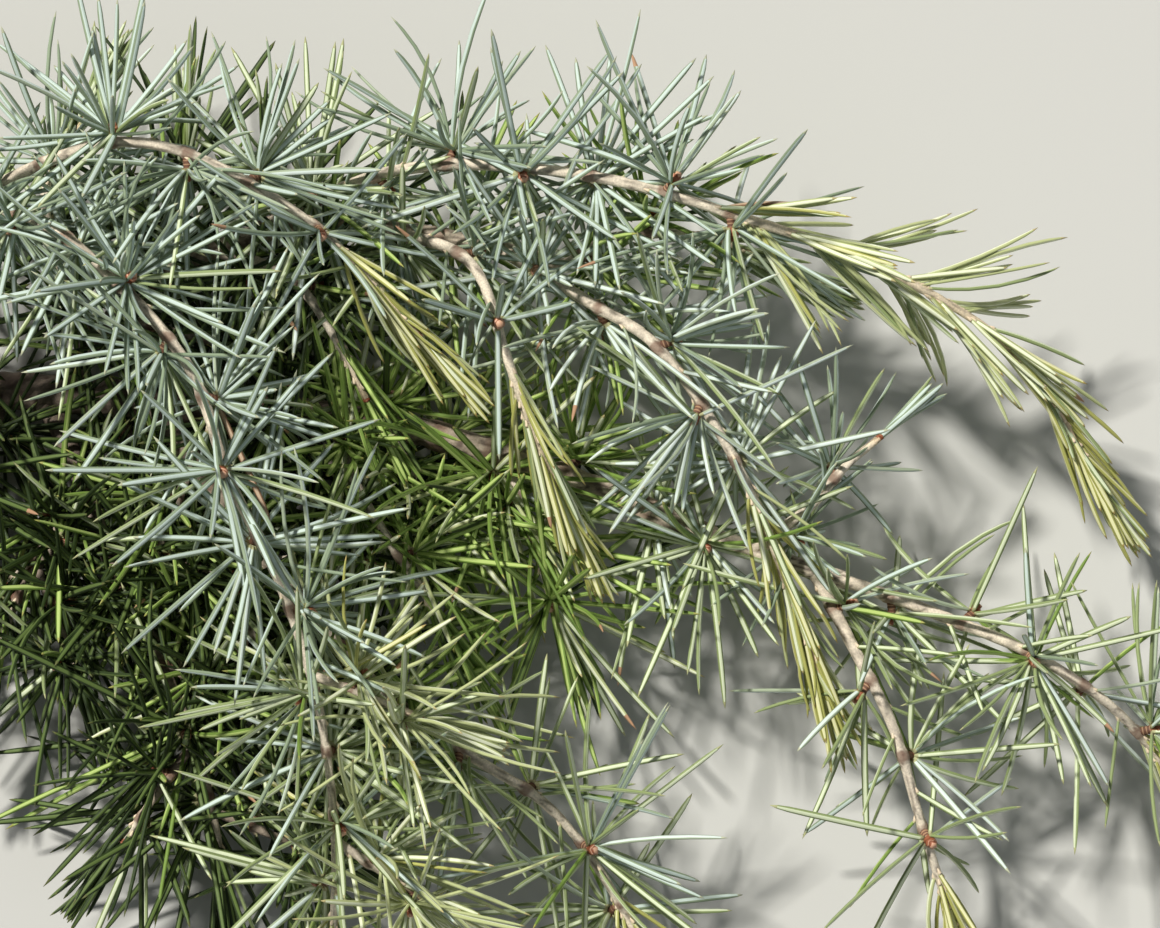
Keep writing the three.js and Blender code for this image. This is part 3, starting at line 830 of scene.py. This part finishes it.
def settleNeedles():
    # Keeps every needle above the ground, inside the frame's box and out of the wood.
    root, direction, length = (np.array([row[key] for row in rows])
                               for key in ("root", "direction", "length"))
    ground = needleRule["groundMargin"] - planToFrame[2]
    lowest = (ground - root[:, 2]) / length
    isLow = direction[:, 2] < lowest
    level = np.hypot(direction[:, 0], direction[:, 1])
    spread = np.sqrt(np.clip(1 - lowest ** 2, 0, 1)) / np.maximum(level, 1e-6)
    direction[isLow, :2] *= spread[isLow, None]
    direction[isLow, 2] = lowest[isLow]
    for row, tipHeight in zip(rows, root[:, 2] + direction[:, 2] * length):
        if tipHeight + planToFrame[2] < needleRule["straightBelow"]:
            row["bow"] = 0
    low, high = (np.array(corner) / mm - planToFrame for corner in cadBox)
    low, high = low + needleRule["boxMargin"], high - needleRule["boxMargin"]
    slope = np.where(np.abs(direction) < 1e-9, 1e-9, direction)
    room = np.where(direction > 0, high - root, low - root) / slope
    room[:, 2] = np.where(direction[:, 2] > 0, room[:, 2], 1e9)
    length = np.minimum(length, room.min(axis=1))
    centres, radii = woodSpheres()
    free = np.ones(len(rows))
    for share in np.linspace(0.15, 1, 12)[::-1]:
        spot = root + direction * (length * share)[:, None]
        for begin in range(0, len(spot), needlesAtOnce):
            part = slice(begin, begin + needlesAtOnce)
            gap = np.linalg.norm(spot[part, None] - centres[None], axis=2) - radii
            isIn = gap.min(axis=1) < needleRule["woodMargin"]
            free[part] = np.where(isIn, share - needleRule["shorterBy"], free[part])
    length = length * free
    length *= laneShares(root, direction, length)
    isKept = (length > needleRule["shortest"]) & (free > needleRule["leastFree"])
    return root, direction, length, isKept


def laneShares(root, direction, length):
    # A needle that would hide a stem from above mostly stops short of it, or is left out.
    chance = np.random.default_rng(seeds["lanes"]).random(len(rows))
    shares = np.linspace(0.12, 1, 14)
    reach = root[:, None] + direction[:, None] * (length[:, None] * shares)[..., None]
    kept = np.ones(len(rows))
    limbOf = np.array([row["limb"] or "" for row in rows])
    isWhorl = np.array([row["isWhorl"] for row in rows])
    for name, (start, end, leftOut) in clearLanes.items():
        limb = grown[name]
        along = np.linspace(start, end, int(limb["path"]["total"] * (end - start) / 1.5))
        line = seatsOn(limb["path"], along)["point"]
        half = np.where(along > limb.get("youngFrom", 2), laneWidth["young"], laneWidth["stem"])
        asked = np.flatnonzero((chance < leftOut) & ((limbOf != name) | isWhorl))
        for begin in range(0, len(asked), needlesAtOnce):
            part = asked[begin:begin + needlesAtOnce]
            spot = reach[part][:, :, None]
            isOver = (np.hypot(spot[..., 0] - line[:, 0], spot[..., 1] - line[:, 1]) < half) \
                & (spot[..., 2] > line[:, 2])
            hit = isOver.any(axis=2)
            first = np.where(hit.any(axis=1), shares[hit.argmax(axis=1)], 1 + laneGap) - laneGap
            kept[part] = np.minimum(kept[part], np.where(first < shortestShare, 0, first))
    return kept


growFoliage()
needleRoot, needleDirection, needleLength, needleKept = settleNeedles()
print("needles:", int(needleKept.sum()), "of", len(rows))


# Meshes

def makeMesh(name, points, corners, sizes, kinds, materials):
    mesh = bpy.data.meshes.new(name)
    mesh.vertices.add(len(points))
    mesh.vertices.foreach_set("co", ((points + planToFrame) * mm).ravel())
    mesh.loops.add(len(corners))
    mesh.loops.foreach_set("vertex_index", corners)
    mesh.polygons.add(len(sizes))
    mesh.polygons.foreach_set("loop_start", np.cumsum(sizes) - sizes)
    mesh.polygons.foreach_set("material_index", kinds)
    mesh.update(calc_edges=True)
    mesh.validate()
    mesh.shade_smooth()
    for material in materials:
        mesh.materials.append(material)
    thing = bpy.data.objects.new(name, mesh)
    bpy.context.scene.collection.objects.link(thing)
    return thing


def dealOut(shape, roots, directions, facings, lengths, widths, bows=None):
    # Copies of a shape, each stretched to its length and width and turned to its place.
    x, y, z = shape["points"].T
    edge = squareTo(directions, facings)
    across = np.cross(edge, directions)
    bow = np.zeros(len(roots)) if bows is None else bows
    lift = y[None] * widths[:, None] + (bow * lengths)[:, None] * 4 * (z * z - z)[None]
    points = (roots[:, None] + directions[:, None] * (z[None] * lengths[:, None])[..., None]
              + across[:, None] * (x[None] * widths[:, None])[..., None] + edge[:, None] * lift[..., None])
    count = len(roots)
    shift = np.repeat(np.arange(count) * len(x), len(shape["corners"]))
    return {"points": points.reshape(-1, 3), "corners": np.tile(shape["corners"], count) + shift,
            "sizes": np.tile(shape["sizes"], count), "kinds": np.tile(shape["kinds"], count)}


def joinArrays(parts):
    start = 0
    corners = []
    for part in parts:
        corners.append(part["corners"] + start)
        start += len(part["points"])
    points = np.vstack([part["points"] for part in parts])
    sizes, kinds = (np.concatenate([part[key] for part in parts]) for key in ("sizes", "kinds"))
    return points, np.concatenate(corners), sizes, kinds


# Needle: living conifer leaf, a waxy cuticle over green tissue. The wax bloom gives soft, satin light,
# and the pale bands are its rows of breathing pores.
needleWax = {"roughness": (0.5, 0.7), "ior": 1.42, "grain": 0.5, "detail": 2, "bump": 0.25, "depth": 0.1}
tints = {  # edge, band and tip
    "silver": ("#a2af95", "#d1ded8", "#bcc0a4"), "glaucous": ("#8a9a7f", "#c3d3cb", "#aeb296"),
    "greyGreen": ("#8b9a68", "#d0dab8", "#aaac7e"), "leafGreen": ("#738e40", "#b1c674", "#9d9e55"),
    # The very dark "shadeGreen" is painted shade for the inside of the branch, partly also the real deeper
    # green of needles grown in shade.
    "shadeGreen": ("#2b3b19", "#5b6e39", "#595e33"), "young": ("#abac60", "#dddcab", "#b3a062"),
    "paleYoung": ("#b3bb86", "#e2e7c9", "#b9ad7b"), "dry": ("#87684f", "#b39a80", "#7a5c45"),
}
sharedFaces = {"foot": "#aeae84", "rustTip": "#b08a6c"}


def grainyMaterial(name, hexText, finish):
    # One colour with a fine grain, in mm, that makes it rough in places and lifts it a little.
    material, shader = newMaterial(name)
    place = addNode(material, "ShaderNodeTexCoord").outputs["Object"]
    grain = addNode(material, "ShaderNodeTexNoise", inputs={
        "Vector": place, "Scale": 1 / (finish["grain"] * mm), "Detail": finish["detail"]})
    rough = addNode(material, "ShaderNodeMapRange", inputs={
        "Value": grain.outputs["Fac"], "From Min": 0.3, "From Max": 0.7,
        "To Min": finish["roughness"][0], "To Max": finish["roughness"][1]})
    bump = addNode(material, "ShaderNodeBump", inputs={
        "Strength": finish["bump"], "Distance": finish["depth"] * mm, "Height": grain.outputs["Fac"]})
    setInputs(material, shader, {"Base Color": linearColour(hexText), "Roughness": rough.outputs["Result"],
                                 "Normal": bump.outputs["Normal"]})
    if "ior" in finish:
        setInputs(material, shader, {"IOR": finish["ior"]})
    return material


def finishPiece(piece, nodes):
    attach(piece, "root")
    if nodes:
        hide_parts(*sorted(nodes))


def makeNeedles():
    foot = grainyMaterial("needle foot", sharedFaces["foot"], needleWax)
    rust = grainyMaterial("needle rust tip", sharedFaces["rustTip"], needleWax)
    for tint, colours in tints.items():
        edge, band, tip = (grainyMaterial("%s needle %s" % (tint, face), colour, needleWax)
                           for face, colour in zip(("edge", "band", "tip"), colours))
        parts = []
        nodes = set()
        for isRust, shapeName in ((False, "needle"), (True, "rustTipped")):
            chosen = [i for i, row in enumerate(rows)
                      if row["tint"] == tint and row["isRust"] == isRust and needleKept[i]]
            if not chosen:
                continue
            nodes |= {rows[i]["owner"] for i in chosen} - {None}
            facing, width, bow = (np.array([rows[i][key] for i in chosen])
                                  for key in ("facing", "width", "bow"))
            part = dealOut(shapes[shapeName], needleRoot[chosen], needleDirection[chosen], facing,
                           needleLength[chosen], width, bow)
            if isRust:
                part["kinds"] = np.where(part["kinds"] == 3, 4, part["kinds"])
            parts.append(part)
        piece = makeMesh("needles_" + tint, *joinArrays(parts), [edge, band, foot, tip, rust])
        finishPiece(piece, nodes)
        print(piece.name, len(piece.data.polygons), "faces")


# Bud scales: dry, papery and resinous, rust-brown with paler rims. On the pegs they are old and darker.
# The leaf cushions are smooth young bark.
scaleFinish = {"grain": 0.4, "detail": 3, "bump": 0.4, "depth": 0.12}
smallParts = {
    "bud": {"piece": "buds", "roughness": (0.45, 0.65),
            "colours": {"bud scale": "#97583c", "bud scale rim": "#cfa184"}},
    "peg": {"piece": "short_shoots", "roughness": (0.65, 0.85),
            "colours": {"old bud scale": "#6b4837", "old scale rim": "#a98568"}},
    "cushion": {"piece": "leaf_cushions", "roughness": (0.6, 0.8), "colours": {"leaf cushion": "#e8d4b8"}},
}


def makeBits():
    for kind, look in smallParts.items():
        finish = {**scaleFinish, "roughness": look["roughness"]}
        materials = [grainyMaterial(name, colour, finish) for name, colour in look["colours"].items()]
        columns = [np.array([bit[k] for bit in bits[kind]]) for k in range(5)]
        part = dealOut(shapes[kind], *columns)
        piece = makeMesh(look["piece"], *joinArrays([part]), materials)
        owners = {shoot["owner"] for shoot in shoots} - {None} if kind == "peg" else set()
        finishPiece(piece, owners)
        print(piece.name, len(piece.data.polygons), "faces")


# Bark. Old bark is dry cork, grey-brown and cracked lengthwise. On the twigs it is smooth and cream, and
# on the new tips a warmer cream.
barkLook = {
    "ages": ((0.0, "#dec7a4"), (0.12, "#e8d9bf"), (0.28, "#e8dcc6"), (0.5, "#e5d8c4"), (0.68, "#d0c0aa"),
             (0.85, "#938475"), (1.0, "#706459")),
    "crack": "#3d2c23", "scar": "#6c4733", "patch": "#544a41", "roughness": (0.7, 0.92),
    "grain": 0.45, "speckle": (0.8, 1.12), "patchSize": 5, "patchEdge": (0.52, 0.68), "patchShare": 0.75,
    "bump": 0.6, "depth": 0.25,
}
# "dark" is how far the cracks are darkened: partly real darker bark in the fissures, partly painted shade in
# them.
carving = {
    "stem": {"sides": 10, "dark": 0.9, "depth": 0.38, "swell": 0.3, "around": 2.6, "along": 0.16,
             "thin": 0.16, "scarHalf": 2.0, "scarRise": 0.3, "scarDark": 0.45},
    "bough": {"sides": 7, "dark": 0.75, "depth": 0.24, "swell": 0.2, "around": 2.2, "along": 0.2,
              "thin": 0.16, "scarHalf": 1.8, "scarRise": 0.28, "scarDark": 0.5},
    "twig": {"sides": 4, "dark": 0.75, "depth": 0.09, "swell": 0.12, "around": 2.2, "along": 0.13,
             "thin": 0.12, "scarHalf": 1.5, "scarRise": 0.26, "scarDark": 0.7},
}
# How fine the ridges are, and how far the carving goes: in shares of the radius and in mm.
ridges = {"coarse": 0.5, "fine": 2.3, "fineShare": 0.5, "ragged": 0.5, "scarEdge": 0.5,
          "deepest": 0.35, "highest": 0.4, "flatWithin": 0.3}
# How old the bark is, from 0 to 1: places along a limb, and the ages there.
barkAge = {"stem": ([0, 0.45, 1], [1, 0.86, 0.5]), "bough": ([0, 1], [0.88, 0.6]),
           "twig": [0.58, 0.42, 0.14, 0], "softensOver": (0.05, 0.1)}
paintedShadeOnBark = 0.3  # painted shade: how much further up the age scale, and so darker, the bark of limbs with shade-green needles is coloured
cutFace = {"rings": 7, "barkWall": 0.6, "heart": "#b98d5f", "pale": "#e2c79b", "roughness": 0.75,
           "ringGap": 0.55, "wander": 1.5, "bump": 0.4, "depth": 0.15}


def barkMaterial():
    material, shader = newMaterial("cedar bark")
    place = addNode(material, "ShaderNodeTexCoord").outputs["Object"]
    grain = addNode(material, "ShaderNodeTexNoise",
                    inputs={"Vector": place, "Scale": 1 / (barkLook["grain"] * mm), "Detail": 5})
    patch = addNode(material, "ShaderNodeTexNoise",
                    inputs={"Vector": place, "Scale": 1 / (barkLook["patchSize"] * mm), "Detail": 3})
    age = addNode(material, "ShaderNodeAttribute", {"attribute_name": "age"}).outputs["Fac"]
    crack = addNode(material, "ShaderNodeAttribute", {"attribute_name": "crack"}).outputs["Fac"]
    scar = addNode(material, "ShaderNodeAttribute", {"attribute_name": "scar"}).outputs["Fac"]
    skin = addNode(material, "ShaderNodeValToRGB", inputs={"Fac": age}, stops=barkLook["ages"])
    speckle = addNode(material, "ShaderNodeMapRange", inputs={
        "Value": grain.outputs["Fac"], "From Min": 0.35, "From Max": 0.65,
        "To Min": barkLook["speckle"][0], "To Max": barkLook["speckle"][1]})
    toned = addNode(material, "ShaderNodeMix", {"data_type": "RGBA", "blend_type": "MULTIPLY"},
                    {"Factor": 1.0, 6: skin.outputs["Color"], 7: speckle.outputs["Result"]})
    patchy = addNode(material, "ShaderNodeMapRange", inputs={
        "Value": patch.outputs["Fac"], "From Min": barkLook["patchEdge"][0],
        "From Max": barkLook["patchEdge"][1], "To Min": 0.0, "To Max": barkLook["patchShare"]})
    oldShare = addNode(material, "ShaderNodeMath", {"operation": "MULTIPLY"},
                       {0: patchy.outputs["Result"], 1: age})
    worn = addNode(material, "ShaderNodeMix", {"data_type": "RGBA"},
                   {"Factor": oldShare.outputs[0], 6: toned.outputs[2], 7: linearColour(barkLook["patch"])})
    # The cracks are darkened: partly the real darker bark in the fissures, partly painted shade in them.
    cracked = addNode(material, "ShaderNodeMix", {"data_type": "RGBA"},
                      {"Factor": crack, 6: worn.outputs[2], 7: linearColour(barkLook["crack"])})
    scarred = addNode(material, "ShaderNodeMix", {"data_type": "RGBA"},
                      {"Factor": scar, 6: cracked.outputs[2], 7: linearColour(barkLook["scar"])})
    rough = addNode(material, "ShaderNodeMapRange", inputs={
        "Value": grain.outputs["Fac"], "From Min": 0.3, "From Max": 0.7,
        "To Min": barkLook["roughness"][0], "To Max": barkLook["roughness"][1]})
    bump = addNode(material, "ShaderNodeBump", inputs={
        "Strength": barkLook["bump"], "Distance": barkLook["depth"] * mm, "Height": grain.outputs["Fac"]})
    setInputs(material, shader, {"Base Color": scarred.outputs[2], "Roughness": rough.outputs["Result"],
                                 "Normal": bump.outputs["Normal"]})
    return material


def sawnMaterial():
    # Freshly sawn softwood: pale cream with closer, darker late-wood rings round the pith.
    material, shader = newMaterial("sawn cedar wood")
    place = addNode(material, "ShaderNodeTexCoord").outputs["Object"]
    centred = addNode(material, "ShaderNodeMapping", inputs={"Vector": place, "Location": -cutInFrame * mm})
    rings = addNode(material, "ShaderNodeTexWave", {"wave_type": "RINGS", "rings_direction": "X"},
                    {"Vector": centred.outputs["Vector"], "Scale": 1 / (cutFace["ringGap"] * mm) / 20,
                     "Distortion": cutFace["wander"], "Detail": 2})
    colour = addNode(material, "ShaderNodeValToRGB", inputs={"Fac": rings.outputs["Fac"]},
                     stops=((0.2, cutFace["pale"]), (0.9, cutFace["heart"])))
    bump = addNode(material, "ShaderNodeBump", inputs={
        "Strength": cutFace["bump"], "Distance": cutFace["depth"] * mm, "Height": rings.outputs["Fac"]})
    setInputs(material, shader, {"Base Color": colour.outputs["Color"], "Roughness": cutFace["roughness"],
                                 "Normal": bump.outputs["Normal"]})
    return material


def layLimb(name, path, radiusAt, sides):
    # A curve along the limb, with its own radius at every point, turned into a mesh.
    deselectAll()
    count = max(8, int(path["total"] / wood["ringGap"]))
    along = np.linspace(0, 1, count)
    points = (seatsOn(path, along)["point"] + planToFrame) * mm
    data = bpy.data.curves.new(name, "CURVE")
    data.dimensions = "3D"
    data.bevel_depth = mm
    data.bevel_resolution = sides
    data.use_fill_caps = True
    spline = data.splines.new("POLY")
    spline.points.add(count - 1)
    spline.points.foreach_set("co", np.hstack([points, np.ones((count, 1))]).ravel())
    spline.points.foreach_set("radius", radiusAt(along) * np.ones(count))
    limb = bpy.data.objects.new(name, data)
    bpy.context.scene.collection.objects.link(limb)
    bpy.context.view_layer.objects.active = limb
    limb.select_set(True)
    bpy.ops.object.convert(target="MESH")
    return bpy.context.object


def carveBark(limb, path, look, age):
    # Moves each vertex in or out for ridges, cracks and old leaf scars, and keeps what the colour needs.
    mesh = limb.data
    count = len(mesh.vertices)
    flat = np.empty(count * 3)
    mesh.vertices.foreach_get("co", flat)
    points = flat.reshape(-1, 3) / mm - planToFrame
    samples = np.linspace(0, 1, max(30, int(path["total"] / 0.5)))
    line = seatsOn(path, samples)
    nearest = np.empty(count, int)
    for begin in range(0, count, verticesAtOnce):
        part = slice(begin, begin + verticesAtOnce)
        nearest[part] = np.argmin(((points[part, None] - line["point"][None]) ** 2).sum(axis=2), axis=1)
    centre = line["point"][nearest]
    out = points - centre
    out -= line["tangent"][nearest] * np.sum(out * line["tangent"][nearest], axis=1, keepdims=True)
    radius = np.linalg.norm(out, axis=1)
    out = unit(out)
    angle = np.arctan2(np.sum(out * line["side"][nearest], axis=1), np.sum(out * line["up"][nearest], axis=1))
    run = samples[nearest] * path["total"]
    crack = np.zeros(count)
    swell = np.zeros(count)
    for i in range(count):
        spot = Vector((math.cos(angle[i]) * look["around"], math.sin(angle[i]) * look["around"],
                       run[i] * look["along"]))
        ridge = abs(noise.noise(spot))
        crack[i] = max(0.0, 1 - ridge / look["thin"])
        swell[i] = noise.noise(spot * ridges["coarse"] + Vector((9, 4, 2)))
        swell[i] += ridges["fineShare"] * noise.noise(spot * ridges["fine"])
    scar = np.zeros(count)
    scarReach = look["scarHalf"] * (1 + ridges["ragged"] * swell)
    for shoot in shoots:
        gap = np.linalg.norm(centre - shoot["foot"], axis=1)
        scar = np.maximum(scar, np.clip((scarReach - gap) / ridges["scarEdge"], 0, 1))
    rise = swell * look["swell"] - crack * look["depth"] + scar * look["scarRise"]
    rise = np.clip(rise, -radius * ridges["deepest"], ridges["highest"])
    rise = np.where(radius > ridges["flatWithin"], rise, 0)
    moved = (points + out * rise[:, None] + planToFrame) * mm
    mesh.vertices.foreach_set("co", moved.ravel())
    # The crack darkening is partly real darker bark in the fissures, partly painted shade in them.
    values = {"crack": crack * look["dark"], "scar": scar * look["scarDark"],
              "age": np.interp(samples[nearest], *age)}
    for key, value in values.items():
        mesh.attributes.new(key, "FLOAT", "POINT").data.foreach_set("value", value)
    mesh.update()


def selectFaces(thing, isWanted):
    deselectAll()
    bpy.context.view_layer.objects.active = thing
    thing.select_set(True)
    bpy.ops.object.mode_set(mode="EDIT")
    bpy.ops.mesh.select_mode(type="FACE")
    bpy.ops.mesh.select_all(action="DESELECT")
    bpy.ops.object.mode_set(mode="OBJECT")
    for face in thing.data.polygons:
        face.select = isWanted(face)
    bpy.ops.object.mode_set(mode="EDIT")


def cutRings(limb):
    # The sawn end: its cap is made one face and inset ring by ring. All but the outer ring is bare wood.
    edge = min(vertex.co.x for vertex in limb.data.vertices)
    selectFaces(limb, lambda face: face.center.x < edge + 0.05 * mm and face.normal.x < -0.9)
    bpy.ops.mesh.dissolve_faces()
    bpy.ops.mesh.inset(thickness=cutFace["barkWall"] * mm)
    for _ in range(cutFace["rings"]):
        bpy.ops.mesh.inset(thickness=(wood["stemRoot"] - cutFace["barkWall"]) * mm / (cutFace["rings"] + 1))
    bpy.ops.object.mode_set(mode="OBJECT")
    for face in limb.data.polygons:
        middle = np.array(face.center) / mm - cutInFrame
        isBare = np.hypot(middle[1], middle[2]) < wood["stemRoot"] - cutFace["barkWall"] * 0.8
        if face.center.x < edge + 0.3 * mm and isBare and face.normal.x < -0.9:
            face.material_index = 1


def makeWood():
    bark = barkMaterial()
    sawn = sawnMaterial()
    for name in boughs:
        limb = grown[name]
        kind = "bough" if "on" in boughs[name] else "stem"
        piece = layLimb(name + "_bark", limb["path"], limb["radiusAt"], carving[kind]["sides"])
        places, ages = barkAge[kind]
        # Painted shade: boughs with shade-green needles get darker, older-looking bark.
        if limb["tint"] == "shadeGreen":
            ages = [*ages[:-1], ages[-1] + paintedShadeOnBark]
        carveBark(piece, limb["path"], carving[kind], (places, ages))
        piece.data.materials.append(bark)
        if kind == "stem":
            piece.data.materials.append(sawn)
            cutRings(piece)
        piece.data.shade_smooth()
        finishPiece(piece, {name})
        print(piece.name, len(piece.data.polygons), "faces")
    twigPieces = []
    before, after = barkAge["softensOver"]
    for name in (name for name in grown if "youngFrom" in grown[name]):
        limb = grown[name]
        young = limb["youngFrom"]
        piece = layLimb(name + "_bark", limb["path"], limb["radiusAt"], carving["twig"]["sides"])
        # Painted shade: twigs with shade-green needles get darker bark the same way.
        shaded = paintedShadeOnBark if limb["tint"] == "shadeGreen" else 0
        places = [0, max(young - before, 0.01), min(young + after, 0.99), 1]
        carveBark(piece, limb["path"], carving["twig"], (places, [age + shaded for age in barkAge["twig"]]))
        piece.data.materials.append(bark)
        twigPieces.append(piece)
    deselectAll()
    for piece in twigPieces:
        piece.select_set(True)
    bpy.context.view_layer.objects.active = twigPieces[0]
    bpy.ops.object.join()
    joined = bpy.context.object
    joined.name = "twig_bark"
    joined.data.shade_smooth()
    nodes = {"%s_%d" % (name, k + 1) for name in twigs for k in range(twigs[name]["lengths"])}
    finishPiece(joined, nodes)
    print(joined.name, len(joined.data.polygons), "faces")


makeNeedles()
makeBits()
makeWood()
